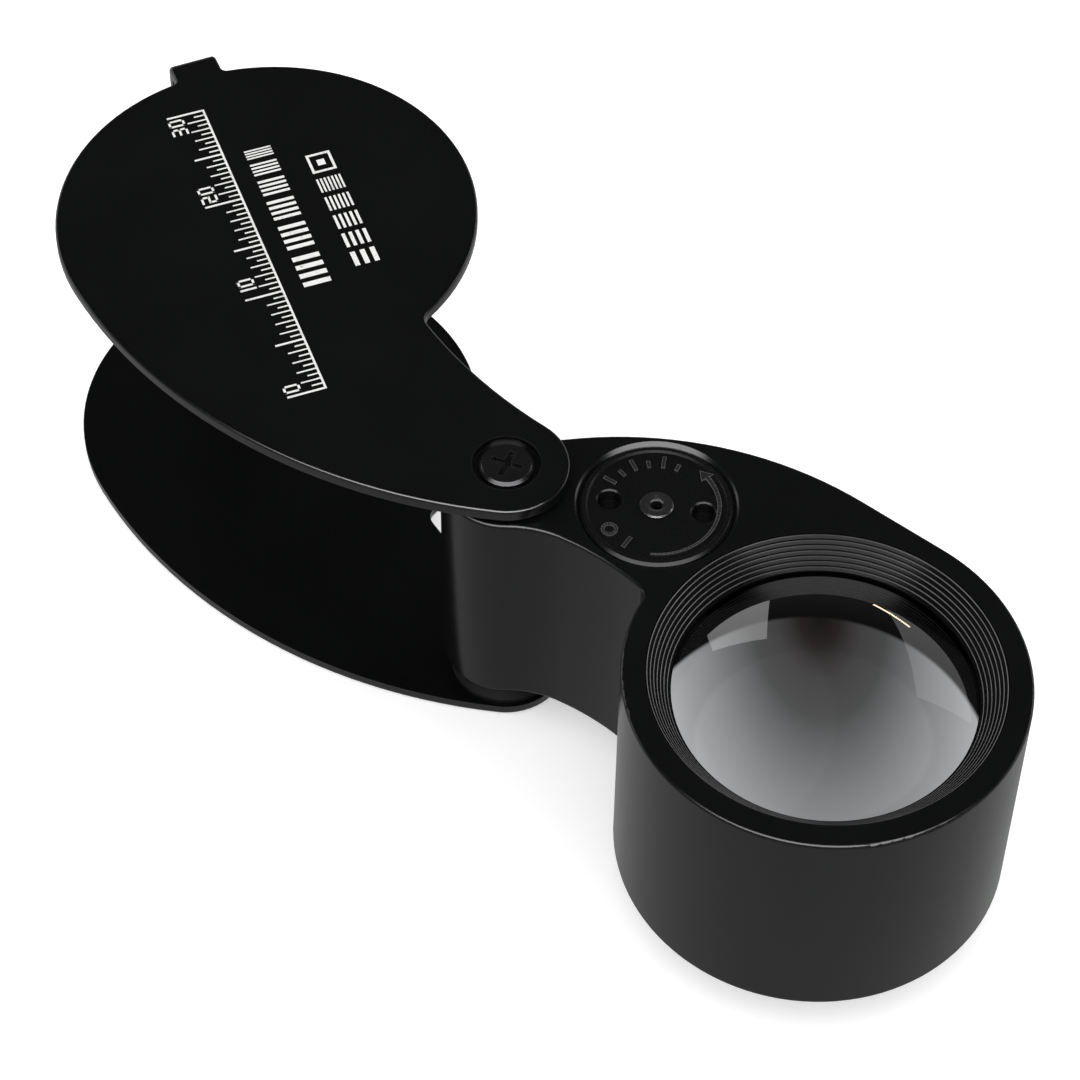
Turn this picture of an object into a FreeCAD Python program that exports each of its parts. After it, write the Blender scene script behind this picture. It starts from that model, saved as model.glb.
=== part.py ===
import FreeCAD, Part
import math, os
import Sketcher
from FreeCAD import Vector, Placement, Rotation

# Folding illuminated loupe, cover folded out.  Millimetres, +Z along the optical
# axis, origin on the barrel axis in the plane of the barrel's foot rim.  The arm
# and the cover pivot lie towards -X.

doc = FreeCAD.newDocument("loupe")
sheet = doc.addObject("Spreadsheet::Sheet", "Sheet")
UP = Vector(0, 0, 1)


class Linked(object):
    """A number that also knows its formula in sheet cells."""

    def __init__(self, value, formula=None):
        self.value = float(value)
        self.formula = formula or repr(round(self.value, 6))

    def __add__(self, other):
        other = linked(other)
        return Linked(self.value + other.value, "(%s + %s)" % (self.formula, other.formula))

    __radd__ = __add__

    def __sub__(self, other):
        other = linked(other)
        return Linked(self.value - other.value, "(%s - %s)" % (self.formula, other.formula))

    def __mul__(self, other):
        other = linked(other)
        return Linked(self.value * other.value, "(%s * %s)" % (self.formula, other.formula))

    __rmul__ = __mul__

    def __neg__(self):
        return Linked(-self.value, "(0 - %s)" % self.formula)


def linked(number):
    return number if isinstance(number, Linked) else Linked(number)


size_names = []


def size(name, value):
    """Write a driving size to the next sheet row and return it linked."""
    size_names.append(name)
    row = len(size_names)
    sheet.set("A%d" % row, name)
    sheet.set("B%d" % row, repr(value))
    sheet.setAlias("B%d" % row, name)
    return Linked(value, "Sheet." + name)


# ---- driving sizes: _rad and _curve are radii, _low and _top are heights ----
# housing
barrel_rad = size("barrel_rad", 14.0)
body_top = size("body_top", 19.5)
body_low = size("body_low", 0.1)
foot_rad = size("foot_rad", 13.6)
bore_rad = size("bore_rad", 11.6)
mouth_rad = size("mouth_rad", 12.34)
mouth_floor = size("mouth_floor", 16.6)
cavity_top = size("cavity_top", 6.6)
pivot_x = size("pivot_x", -27.87)
arm_end_rad = size("arm_end_rad", 4.7)
arm_back_rad = size("arm_back_rad", 26.98)  # convex edge, +Y side
arm_scoop_rad = size("arm_scoop_rad", 20.0)  # hollow edge, -Y side
edge_round = size("edge_round", 0.3)
# battery chamber, its cap and the coin cells, all on one axis
cap_x = size("cap_x", -18.03)
cap_y = size("cap_y", 4.6)
cap_rad = size("cap_rad", 5.45)
cap_seat = size("cap_seat", 17.1)
cap_seat_rad = size("cap_seat_rad", 5.5)
chamber_rad = size("chamber_rad", 5.1)
chamber_floor = size("chamber_floor", 6.8)
cell_rad = size("cell_rad", 4.75)
cell_thick = size("cell_thick", 2.7)
# lenses
lens_rad = size("lens_rad", 11.5)
clear_rad = size("clear_rad", 10.5)
eye_curve = size("eye_curve", 26.0)
cement_curve = size("cement_curve", 22.0)  # shared by the eye and flint lenses
field_curve = size("field_curve", 30.0)
# lamp and pivot
lamp_z = size("lamp_z", 3.3)
sleeve_rad = size("sleeve_rad", 1.5)
sleeve_bore = size("sleeve_bore", 1.0)
# cover; its X and Y are measured from the pivot
plate_thick = size("plate_thick", 0.9)
upper_low = size("upper_low", 19.95)
lower_low = size("lower_low", -3.0)
disc_rad = size("disc_rad", 15.75)
disc_x = size("disc_x", -29.3)
disc_y = size("disc_y", 7.8)
horn_end = size("horn_end", 4.5)  # round end about the pivot
horn_out = size("horn_out", 42.0)  # convex edge, -Y side
horn_in = size("horn_in", 38.0)  # hollow edge, +Y side
strip_wide = size("strip_wide", 3.7)
strip_reach = size("strip_reach", 17.9)  # disc centre to the strip's outer face
strip_angle = size("strip_angle", 150.7)
# pivot screws and their sinks
sink_rad = size("sink_rad", 2.45)
sink_deep = size("sink_deep", 0.6)
head_rad = size("head_rad", 1.95)
head_high = size("head_high", 0.52)
hole_slack = size("hole_slack", 0.05)
doc.recompute()


# ---- placing and sketching -------------------------------------------------
def place(item, prop, position, rotation):
    """Set a placement and bind each coordinate that depends on the sheet."""
    position = [linked(number) for number in position]
    setattr(item, prop, Placement(Vector(*[number.value for number in position]), rotation))
    for axis, number in zip("xyz", position):
        if "Sheet." in number.formula:
            item.setExpression("%s.Base.%s" % (prop, axis), number.formula)


def on_cap(z):
    return cap_x, cap_y, z


def on_pivot(z):
    return pivot_x, 0, z


def new_body(name, at=(0, 0, 0), rotation=Rotation()):
    body = doc.addObject("PartDesign::Body", name)
    body.Label = name
    place(body, "Placement", at, rotation)
    return body


def new_sketch(body, name, at=(0, 0, 0), turn=0.0, role="XY_Plane"):
    sk = body.newObject("Sketcher::SketchObject", name)
    plane = [item for item in body.Origin.OriginFeatures if item.Role == role][0]
    sk.AttachmentSupport = [(plane, "")]
    sk.MapMode = "FlatFace"
    place(sk, "AttachmentOffset", at, Rotation(UP, linked(turn).value))
    return sk


def fix_coordinate(sk, kind, geometry, point, number):
    """Hold one coordinate of a point; kind is DistanceX or DistanceY."""
    number = linked(number)
    if abs(number.value) < 1e-9:
        axis = -2 if kind == "DistanceX" else -1
        sk.addConstraint(Sketcher.Constraint("PointOnObject", geometry, point, axis))
        return
    if number.value > 0:
        ends = (-1, 1, geometry, point)
    else:
        ends = (geometry, point, -1, 1)
        number = -number
    index = sk.addConstraint(Sketcher.Constraint(kind, *ends, number.value))
    sk.setExpression("Constraints[%d]" % index, number.formula)


def fix_radius(sk, geometry, radius):
    index = sk.addConstraint(Sketcher.Constraint("Radius", geometry, radius.value))
    sk.setExpression("Constraints[%d]" % index, radius.formula)


def add_arc(sk, start, end, radius, side):
    """Arc from start to end, its centre on the left (side 1) or right (-1)."""
    chord = end - start
    rise = math.sqrt(max(radius * radius - chord.Length ** 2 / 4.0, 0.0))
    normal = Vector(-chord.y, chord.x, 0).normalize() * side
    centre = (start + end) * 0.5 + normal * rise
    first, last = (start, end) if side > 0 else (end, start)
    first_angle = math.atan2(first.y - centre.y, first.x - centre.x)
    last_angle = math.atan2(last.y - centre.y, last.x - centre.x)
    if last_angle < first_angle:
        last_angle += 2 * math.pi
    arc = Part.ArcOfCircle(Part.Circle(centre, UP, radius), first_angle, last_angle)
    return sk.addGeometry(arc, False)


def outline(sk, points, arcs=None, free=()):
    """Closed outline.  arcs: {edge index: (radius, side)}.  free: vertices whose
    height is left to an arc that is centred on the sketch's vertical axis."""
    arcs = arcs or {}
    count = len(points)
    corners = [Vector(linked(x).value, linked(y).value, 0) for x, y in points]
    edges = []  # geometry index, its start point, its end point
    for i in range(count):
        start, end = corners[i], corners[(i + 1) % count]
        if i in arcs:
            radius, side = arcs[i]
            geometry = add_arc(sk, start, end, linked(radius).value, side)
            edges.append((geometry, 1, 2) if side > 0 else (geometry, 2, 1))
        else:
            edges.append((sk.addGeometry(Part.LineSegment(start, end), False), 1, 2))
    for i in range(count):
        following = edges[(i + 1) % count]
        sk.addConstraint(Sketcher.Constraint(
            "Coincident", edges[i][0], edges[i][2], following[0], following[1]))
    for i, (x, y) in enumerate(points):
        fix_coordinate(sk, "DistanceX", edges[i][0], edges[i][1], x)
        if i not in free:
            fix_coordinate(sk, "DistanceY", edges[i][0], edges[i][1], y)
    for i, (radius, side) in arcs.items():
        fix_radius(sk, edges[i][0], linked(radius))
        if i in free or (i + 1) % count in free:
            sk.addConstraint(Sketcher.Constraint("PointOnObject", edges[i][0], 3, -2))


def rectangle(sk, x_low, x_high, half_wide):
    outline(sk, [(x_low, -half_wide), (x_high, -half_wide),
                 (x_high, half_wide), (x_low, half_wide)])


def circle(sk, x, y, radius):
    x, y, radius = linked(x), linked(y), linked(radius)
    geometry = sk.addGeometry(Part.Circle(Vector(x.value, y.value, 0), UP, radius.value), False)
    if abs(x.value) < 1e-9 and abs(y.value) < 1e-9:
        sk.addConstraint(Sketcher.Constraint("Coincident", geometry, 3, -1, 1))
    else:
        fix_coordinate(sk, "DistanceX", geometry, 3, x)
        fix_coordinate(sk, "DistanceY", geometry, 3, y)
    fix_radius(sk, geometry, radius)


def circle_sketch(body, name, x, y, radius, z):
    sk = new_sketch(body, name, (0, 0, z))
    circle(sk, x, y, radius)
    return sk


# ---- features --------------------------------------------------------------
def in_error(item):
    return "Invalid" in item.State or "Error" in item.State


def require_good(feature):
    if in_error(feature) or not feature.Shape.isValid():
        raise RuntimeError("feature failed: " + feature.Name)


def extrude(body, kind, name, sk, length):
    feature = body.newObject("PartDesign::" + kind, name)
    feature.Profile = sk
    feature.Length = linked(length).value
    feature.setExpression("Length", linked(length).formula)
    return feature


def pad(body, name, sk, length):
    feature = extrude(body, "Pad", name, sk, length)
    doc.recompute()
    require_good(feature)


def pocket(body, name, sk, length):
    """Cut from the sketch plane along its +normal."""
    doc.recompute()
    before = body.Shape.Volume
    feature = extrude(body, "Pocket", name, sk, length)
    feature.Reversed = True
    doc.recompute()
    require_good(feature)
    if not body.Shape.Volume < before - 1e-6:
        raise RuntimeError("pocket cut nothing: " + name)


def bore(body, name, x, y, radius, low, high):
    """Round hole between two heights in the body's own frame."""
    sk = circle_sketch(body, name + "_sk", x, y, radius, low)
    pocket(body, name, sk, linked(high) - low)


def dress(body, name, amount, chosen, kind="Fillet"):
    """Fillet or chamfer the edges that chosen(edge, bounding box) accepts."""
    tip = body.Tip
    names = ["Edge%d" % (i + 1) for i, edge in enumerate(tip.Shape.Edges)
             if chosen(edge, edge.BoundBox)]
    if not names:
        raise RuntimeError("no edges for " + name)
    feature = body.newObject("PartDesign::" + kind, name)
    feature.Base = (tip, names)
    prop = "Radius" if kind == "Fillet" else "Size"
    setattr(feature, prop, linked(amount).value)
    feature.setExpression(prop, linked(amount).formula)
    doc.recompute()
    require_good(feature)


def is_upright(box):
    return box.XLength < 1e-3 and box.YLength < 1e-3


def is_flat_at(box, *levels):
    return box.ZLength < 1e-3 and any(abs(box.ZMin - level.value) < 1e-3 for level in levels)


def upright_near(x, y):
    return lambda edge, box: (is_upright(box) and box.ZLength > 0.2
                              and math.hypot(box.XMin - x, box.YMin - y) < 0.5)


def flat_circle(level, radius):
    return lambda edge, box: (is_flat_at(box, linked(level))
                              and abs(box.XLength - 2 * linked(radius).value) < 0.02)


def revolve(name, points, arcs=None, free=(), at=(0, 0, 0), rotation=Rotation()):
    """Full turn of a closed (radius, height) profile."""
    body = new_body(name, at, rotation)
    sk = new_sketch(body, name + "_profile", role="XZ_Plane")
    outline(sk, points, arcs, free)
    turn = body.newObject("PartDesign::Revolution", name + "_turn")
    turn.Profile = sk
    turn.ReferenceAxis = (sk, ["V_Axis"])
    turn.Angle = 360.0
    doc.recompute()
    require_good(turn)
    return body


def ring(name, inner, outer, high, at, rotation=Rotation(), chamfer=0.0):
    """Plain ring, its outer rims chamfered if a chamfer is given."""
    if chamfer:
        outer_points = [(outer - chamfer, 0), (outer, chamfer),
                        (outer, high - chamfer), (outer - chamfer, high)]
    else:
        outer_points = [(outer, 0), (outer, high)]
    return revolve(name, [(inner, 0)] + outer_points + [(inner, high)],
                   at=at, rotation=rotation)


# ---- lamp axis: level, from the cap axis to the barrel axis -----------------
to_barrel = Vector(-cap_x.value, -cap_y.value, 0).normalize()
along_lamp = Rotation(UP, to_barrel)
lamp_base_rad = 15.0  # distances from the barrel axis
lamp_hole_start = 16.0


def on_lamp(forward):
    """Point on the lamp axis, forward of the lamp's base."""
    point = to_barrel * (forward - lamp_base_rad)
    return point.x, point.y, lamp_z


# ---- housing: barrel, arm and pivot end in one piece -------------------------
housing = new_body("housing")
body_high = body_top - body_low
pad(housing, "barrel", circle_sketch(housing, "barrel_sk", 0, 0, barrel_rad, body_low),
    body_high)
pad(housing, "arm_end", circle_sketch(housing, "end_sk", pivot_x, 0, arm_end_rad, body_low),
    body_high)
arm_sk = new_sketch(housing, "arm_sk", (0, 0, body_low))
outline(arm_sk,
        [(0, barrel_rad), (-7.0, barrel_rad), (pivot_x, 4.12), (pivot_x, -4.42),
         (-13.0, -2.284), (-6.0, -2.0)],
        {1: (arm_back_rad, 1), 3: (arm_scoop_rad, -1)})
pad(housing, "arm", arm_sk, body_high)

# upright corners: name, radius, rough X and Y
for name, radius, x, y in (
        ("inner_corner", 1.0, -13.85, -2.08),  # arm to barrel, -Y side
        ("back_valley", 2.2, -27.35, 4.68),  # arm to pivot end, +Y side
        ("front_valley", 8.0, -24.0, -2.69)):  # arm to pivot end, -Y side
    dress(housing, name, radius, upright_near(x, y))
for name, level in (("top_round", body_top), ("low_round", body_low)):
    dress(housing, name, edge_round, lambda edge, box: is_flat_at(box, level))
pad(housing, "foot", circle_sketch(housing, "foot_sk", 0, 0, foot_rad, 0), 1.0)

past_top = body_top + 1.0
# name, X, Y, radius, low, high; open ends run past the faces
for hole in (
        ("lens_bore", 0, 0, bore_rad, -1.0, past_top),
        ("mouth", 0, 0, mouth_rad, mouth_floor, past_top),
        ("cavity", 0, 0, mouth_rad, -1.0, cavity_top),
        ("battery_chamber", cap_x, cap_y, chamber_rad, chamber_floor, past_top),
        ("cap_seat_bore", cap_x, cap_y, cap_seat_rad, cap_seat, past_top),
        ("wire_pocket", cap_x, cap_y, 3.2, -0.5, 5.8),
        ("plug_seat", cap_x, cap_y, 4.0, -0.5, 1.1),
        ("wire_hole", cap_x, cap_y, 0.8, 5.0, chamber_floor + 0.5),
        ("pivot_bore", pivot_x, 0, sleeve_rad + 0.02, -0.5, past_top)):
    bore(housing, *hole)
dress(housing, "cap_mouth", 0.28, flat_circle(body_top, cap_seat_rad), "Chamfer")

# radial hole for the lamp, through the wall between cavity and wire pocket
lamp_sk = new_sketch(housing, "lamp_sk", role="YZ_Plane")
hole_start = to_barrel * -lamp_hole_start + UP * lamp_z.value
yz_plane = Placement(Vector(), Rotation(Vector(0, 1, 0), UP, Vector(1, 0, 0), "ZXY"))
lamp_sk.AttachmentOffset = yz_plane.inverse().multiply(Placement(hole_start, along_lamp))
circle(lamp_sk, 0, 0, 1.6)
pocket(housing, "lamp_hole", lamp_sk, 5.0)

# ---- eye ring: stepped grooves run down its sloping inner face ----------------
groove_count = 7
groove_valley = 0.55  # share of a groove's pitch at which it is deepest
ring_rad, ring_high = 12.3, 2.83
lip_rad, lip_high = 11.65, 0.6
slope_top_rad = 12.2
slope_low_rad, slope_low_z = 10.5, 0.78


def on_slope(share):
    """Radius and height at a share of the way down the slope."""
    return (slope_top_rad + (slope_low_rad - slope_top_rad) * share,
            ring_high + (slope_low_z - ring_high) * share)


profile = [(lip_rad, 0), (ring_rad, 0), (ring_rad, ring_high)]
for i in range(groove_count):
    valley_rad, valley_z = on_slope((i + groove_valley) / groove_count)
    profile.append(on_slope(i / groove_count))
    profile.append((valley_rad + 0.02, valley_z - 0.13))
profile += [(slope_low_rad, slope_low_z), (slope_low_rad, lip_high), (lip_rad, lip_high)]

# ---- lens stack, from the cavity's top upwards --------------------------------
stack_gap = 0.02
field_ring_high = 1.58
field_rim = 1.78  # heights of the lens rims above each lens's own zero
spacer_high = 2.26
flint_rim = 3.68
eye_rim_low, eye_rim_top = 2.82, 5.62
cement_rad = 10.6

field_z = cavity_top + stack_gap
spacer_z = field_z + field_rim + stack_gap
flint_z = spacer_z + spacer_high + stack_gap
eye_z = flint_z + flint_rim + stack_gap - eye_rim_low

revolve("eye_ring", profile, at=(0, 0, mouth_floor + stack_gap))
revolve("eye_lens",
        [(0, 0.1), (cement_rad, eye_rim_low), (lens_rad, eye_rim_low),
         (lens_rad, eye_rim_top), (clear_rad, eye_rim_top), (0, 7.83)],
        {0: (cement_curve, 1), 4: (eye_curve, 1)}, free=(0, 5), at=(0, 0, eye_z))
revolve("flint_lens",
        [(0, 0), (lens_rad, 0), (lens_rad, flint_rim), (cement_rad, flint_rim), (0, 0.96)],
        {3: (cement_curve, -1)}, free=(4,), at=(0, 0, flint_z))
ring("lens_spacer", 10.6, lens_rad, spacer_high, (0, 0, spacer_z), chamfer=0.1)
revolve("field_lens",
        [(0, 0), (lens_rad, 0), (lens_rad, field_rim), (clear_rad, field_rim), (0, 3.68)],
        {3: (field_curve, 1)}, free=(4,), at=(0, 0, field_z))
field_ring = ring("field_ring", 10.4, 12.3, field_ring_high,
                  (0, 0, cavity_top - stack_gap - field_ring_high), chamfer=0.12)
# two opposite slots in its lower face
for name, x_low, x_high in (("slot_a", 9.8, 12.8), ("slot_b", -12.8, -9.8)):
    slot_sk = new_sketch(field_ring, name)
    rectangle(slot_sk, x_low, x_high, 0.5)
    pocket(field_ring, name + "_cut", slot_sk, 0.6)

# ---- lamp and its leads ---------------------------------------------------------
revolve("lamp_bulb", [(0, 0), (1.5, 0), (1.5, 0.6), (1.3, 0.6), (1.3, 2.6), (0, 3.586)],
        {4: (1.35, 1)}, free=(5,), at=on_lamp(0), rotation=along_lamp)
ring("lamp_bezel", 1.33, 1.57, 2.35, on_lamp(0.65), along_lamp, chamfer=0.04)

wire_rad = 0.2
lead_offset = 0.6  # each lead above or below the lamp axis
plus_end_z = 6.79
ground_end_z = 1.13


def lead(name, points):
    """Round wire: a rod along each run, a ball at each bend."""
    pieces = []
    for i, (start, end) in enumerate(zip(points, points[1:])):
        rod = doc.addObject("Part::Cylinder", "%s_run%d" % (name, i))
        rod.Radius = wire_rad
        rod.Height = (end - start).Length
        rod.Placement = Placement(start, Rotation(UP, end - start))
        pieces.append(rod)
    for i in range(1, len(points) - 1):
        ball = doc.addObject("Part::Sphere", "%s_bend%d" % (name, i))
        ball.Radius = wire_rad
        ball.Placement = Placement(points[i], Rotation())
        pieces.append(ball)
    wire = doc.addObject("Part::MultiFuse", name)
    wire.Shapes = pieces
    wire.Label = name
    doc.recompute()


lamp_back = to_barrel * -(lamp_base_rad + 0.03) + UP * lamp_z.value
plus_start = lamp_back + UP * lead_offset
lead("lamp_lead_plus", [plus_start,
                        Vector(cap_x.value, cap_y.value, plus_start.z),
                        Vector(cap_x.value, cap_y.value, plus_end_z)])
ground_start = lamp_back - UP * lead_offset
ground_bend = ground_start - to_barrel * 2.0
lead("lamp_lead_ground", [ground_start, ground_bend,
                          Vector(ground_bend.x, ground_bend.y, ground_end_z)])

# ---- battery side -----------------------------------------------------------------
revolve("bottom_contact",
        [(0, 0.02), (1.2, 0.02), (1.4, 0.0), (4.4, 0.0), (4.4, 0.2), (0, 0.2)],
        at=on_cap(chamber_floor + 0.02))

spring_rad = 3.5  # at the foot; the coil narrows upwards
spring_path = doc.addObject("Part::Helix", "spring_path")
spring_path.Pitch = 0.48
spring_path.Height = 1.2
spring_path.Radius = spring_rad
spring_path.Angle = -50.0
spring_wire = doc.addObject("Part::Circle", "spring_wire")
spring_wire.Radius = 0.16
spring_wire.Placement = Placement(Vector(spring_rad, 0, 0), Rotation(Vector(1, 0, 0), 90))
spring = doc.addObject("Part::Sweep", "battery_spring")
spring.Sections = [spring_wire]
spring.Spine = (spring_path, ["Edge1"])
spring.Solid = True
spring.Frenet = True
spring.Label = "battery_spring"
place(spring, "Placement", on_cap(7.21), Rotation())
doc.recompute()

for i, name in enumerate(("coin_cell_lower", "coin_cell_middle", "coin_cell_upper")):
    revolve(name,
            [(0, 0), (3.7, 0), (3.85, 0.12), (3.85, 0.22), (4.45, 0.22), (cell_rad, 0.5),
             (cell_rad, cell_thick - 0.15), (cell_rad - 0.15, cell_thick), (0, cell_thick)],
            at=on_cap(8.65 + i * (cell_thick + 0.01)))
ring("battery_sleeve", cell_rad + 0.05, chamber_rad - 0.02, 8.3, on_cap(8.6))
revolve("cap_contact_spring",
        [(0.8, 0.0), (1.4, 0.0), (3.2, 0.17), (3.8, 0.17),
         (3.8, 0.29), (3.18, 0.29), (1.38, 0.12), (0.8, 0.12)],
        at=on_cap(16.98))
revolve("bottom_plug", [(0, 0), (3.84, 0), (3.96, 0.12), (3.96, 0.73), (0, 0.73)],
        at=on_cap(0.14))

# ---- light cap, with two spanner holes and a central eyelet -------------------------
cap_base = cap_seat + 0.2
cap_face = 2.0  # above the cap's base, inside the raised rim
rim_top = 2.15
past_cap = 2.6
spanner_rad = 0.85
spanner_offset = 3.35
spanner_angle = math.radians(28.9)

light_cap = revolve("light_cap",
                    [(0, 0), (cap_rad, 0), (cap_rad, rim_top - 0.2), (cap_rad - 0.2, rim_top),
                     (5.0, rim_top), (4.88, cap_face), (0, cap_face)],
                    at=on_cap(cap_base))
for name, offset in (("spanner_a", spanner_offset), ("spanner_b", -spanner_offset)):
    bore(light_cap, name, offset * math.cos(spanner_angle), offset * math.sin(spanner_angle),
         spanner_rad, 0.9, past_cap)
bore(light_cap, "eyelet_hole", 0, 0, 0.75, -0.5, past_cap)
dress(light_cap, "spanner_edges", 0.1, flat_circle(cap_face, spanner_rad), "Chamfer")
revolve("cap_eyelet",
        [(0.42, -0.46), (1.2, -0.46), (1.2, -0.34), (0.73, -0.34), (0.73, 2.02),
         (1.12, 2.02), (1.2, 2.1), (1.12, 2.2), (0.75, 2.26), (0.5, 2.16), (0.42, 2.02)],
        at=on_cap(cap_base))

# ---- pivot ---------------------------------------------------------------------------
cover_top = upper_low + plate_thick
top_sink_floor = cover_top - sink_deep
low_sink_floor = lower_low + sink_deep
sleeve_proud = 0.03  # sleeve beyond each sink floor
head_gap = 0.05  # screw head off its sink floor
sleeve_low = low_sink_floor - sleeve_proud
ring("pivot_sleeve", sleeve_bore, sleeve_rad, top_sink_floor + sleeve_proud - sleeve_low,
     on_pivot(sleeve_low))


def screw(name, z, rotation, cross_turn):
    """Cross-head screw: head above its own z = 0, shank below."""
    shank_rad, shank_long = 0.95, 6.0
    edge = 0.2  # chamfer of the head and of the shank's tip
    near, far = 0.24, 1.15  # half width and half length of the cross's arms
    body = revolve(name,
                   [(0, -shank_long), (shank_rad - edge, -shank_long),
                    (shank_rad, edge - shank_long), (shank_rad, 0), (head_rad, 0),
                    (head_rad, head_high - edge), (head_rad - edge, head_high),
                    (0, head_high)],
                   at=on_pivot(z), rotation=rotation)
    sk = new_sketch(body, name + "_cross", (0, 0, head_high - 0.42), cross_turn)
    outline(sk, [(far, -near), (far, near), (near, near), (near, far),
                 (-near, far), (-near, near), (-far, near), (-far, -near),
                 (-near, -near), (-near, -far), (near, -far), (near, -near)])
    pocket(body, name + "_recess", sk, 1.0)


screw("top_pivot_screw", top_sink_floor + head_gap, Rotation(), 17.0)
screw("bottom_pivot_screw", low_sink_floor - head_gap, Rotation(Vector(1, 0, 0), 180), 40.0)
ring("top_washer", sleeve_rad + 0.05, 4.0, 0.43, on_pivot(body_top + 0.01), chamfer=0.06)
revolve("bottom_spring_washer", [(1.6, 1.83), (4.1, 0.0), (4.1, 0.31), (1.6, 2.14)],
        at=on_pivot(lower_low + plate_thick + 0.02))


# ---- cover: one bent sheet, two horn-shaped plates joined by a strip --------------------
def meet(centre_a, radius_a, centre_b, radius_b, side):
    """Crossing of two circles on the left (side 1) or right (-1) of a to b."""
    line = centre_b - centre_a
    span = line.Length
    along = (radius_a ** 2 - radius_b ** 2 + span ** 2) / (2 * span)
    across = math.sqrt(radius_a ** 2 - along ** 2) * side
    line = line * (1.0 / span)
    return centre_a + line * along + Vector(-line.y, line.x, 0) * across


# The convex edge touches the disc and the pivot end; the hollow edge leaves the
# pivot end at its +Y point and meets the disc in a corner.
pivot = Vector(0, 0, 0)
disc = Vector(disc_x.value, disc_y.value, 0)
convex = meet(disc, horn_out.value - disc_rad.value, pivot, horn_out.value - horn_end.value, 1)
touch_disc = convex + (disc - convex).normalize() * horn_out.value
touch_end = convex + (pivot - convex).normalize() * horn_out.value
hollow = Vector(0, horn_end.value + horn_in.value, 0)
corner = meet(disc, disc_rad.value, hollow, horn_in.value, -1)
disc_crest = disc + Vector(0, disc_rad.value, 0)

cover = new_body("cover", on_pivot(0))
lower_top = lower_low + plate_thick
strip_half = strip_wide * 0.5
strip_inner = strip_reach - plate_thick


def plate(name, z):
    sk = new_sketch(cover, name + "_sk", (0, 0, z))
    outline(sk,
            [(touch_disc.x, touch_disc.y), (touch_end.x, touch_end.y), (0.0, horn_end),
             (corner.x, corner.y), (disc_crest.x, disc_crest.y)],
            {0: (horn_out, 1), 1: (horn_end, 1), 2: (horn_in, -1),
             3: (disc_rad, 1), 4: (disc_rad, 1)})
    pad(cover, name, sk, plate_thick)


def strip_sketch(name, z, start, end, half_wide):
    """Rectangle reaching out from the disc's centre along the strip angle."""
    sk = new_sketch(cover, name, (disc_x, disc_y, z), strip_angle)
    rectangle(sk, start, end, half_wide)
    return sk


def strip_frame(x, y):
    """Distance out from the disc's centre, and offset across the strip."""
    angle = math.radians(strip_angle.value)
    x, y = x - disc.x, y - disc.y
    return (x * math.cos(angle) + y * math.sin(angle),
            y * math.cos(angle) - x * math.sin(angle))


plate("upper_plate", upper_low)
pad(cover, "strip", strip_sketch("strip_sk", lower_low, 15.0, strip_reach, strip_half),
    cover_top - lower_low)
plate("lower_plate", lower_low)
gap_sk = strip_sketch("gap_sk", lower_top, 13.0, strip_inner, strip_half + 1.0)
pocket(cover, "gap", gap_sk, upper_low - lower_top)


def tab_root(edge, box):
    """Upright corner where the strip's tab leaves a plate."""
    out, across = strip_frame(box.XMin, box.YMin)
    return (is_upright(box) and abs(box.ZLength - plate_thick.value) < 1e-3
            and 15.2 < out < 16.0 and abs(abs(across) - strip_half.value) < 0.05)


def bend(reach, *levels):
    """Straight edges across the strip at a given reach."""
    def chosen(edge, box):
        if not is_flat_at(box, *levels):
            return False
        middle = edge.CenterOfMass
        out = strip_frame(middle.x, middle.y)[0]
        return abs(out - reach.value) < 0.02 and 3.0 < edge.Length < 3.8
    return chosen


def outer_rim(edge, box):
    """Edges of both outer faces, bar those as long as the strip is wide."""
    return (is_flat_at(box, cover_top, lower_low)
            and abs(edge.Length - strip_wide.value) > 0.01)


dress(cover, "tab_roots", 0.5, tab_root)
dress(cover, "horn_corner", 1.2, upright_near(corner.x, corner.y))
dress(cover, "bend_outer", 0.85, bend(strip_reach, cover_top, lower_low))
dress(cover, "bend_inner", 0.3, bend(strip_inner, upper_low, lower_top))
dress(cover, "outer_rims", 0.28, outer_rim)
bore(cover, "pivot_hole", 0, 0, sleeve_rad + hole_slack, lower_low - 1.0, cover_top + 1.0)
bore(cover, "top_sink", 0, 0, sink_rad, top_sink_floor, cover_top + 1.0)
low_sink_sk = circle_sketch(cover, "low_sink_sk", 0, 0, sink_rad, lower_low - 1.0)
pocket(cover, "low_sink", low_sink_sk, 1.0 + sink_deep)
doc.recompute()

# ---- check and write ----------------------------------------------------------------------
NODES = ["housing", "eye_ring", "eye_lens", "flint_lens", "lens_spacer", "field_lens",
         "field_ring", "lamp_bulb", "lamp_bezel", "lamp_lead_plus", "lamp_lead_ground",
         "bottom_contact", "battery_spring", "coin_cell_lower", "coin_cell_middle",
         "coin_cell_upper", "battery_sleeve", "cap_contact_spring", "bottom_plug",
         "light_cap", "cap_eyelet", "pivot_sleeve", "top_pivot_screw",
         "bottom_pivot_screw", "top_washer", "bottom_spring_washer", "cover"]
for item in doc.Objects:
    if in_error(item):
        raise RuntimeError("object in error: " + item.Name)
os.makedirs("parts", exist_ok=True)
for name in NODES:
    shape = doc.getObject(name).Shape
    if shape.isNull() or not shape.isValid() or len(shape.Solids) != 1:
        raise RuntimeError("bad shape: %s solids %d" % (name, len(shape.Solids)))
    shape.exportStep("parts/" + name + ".step")
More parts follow.
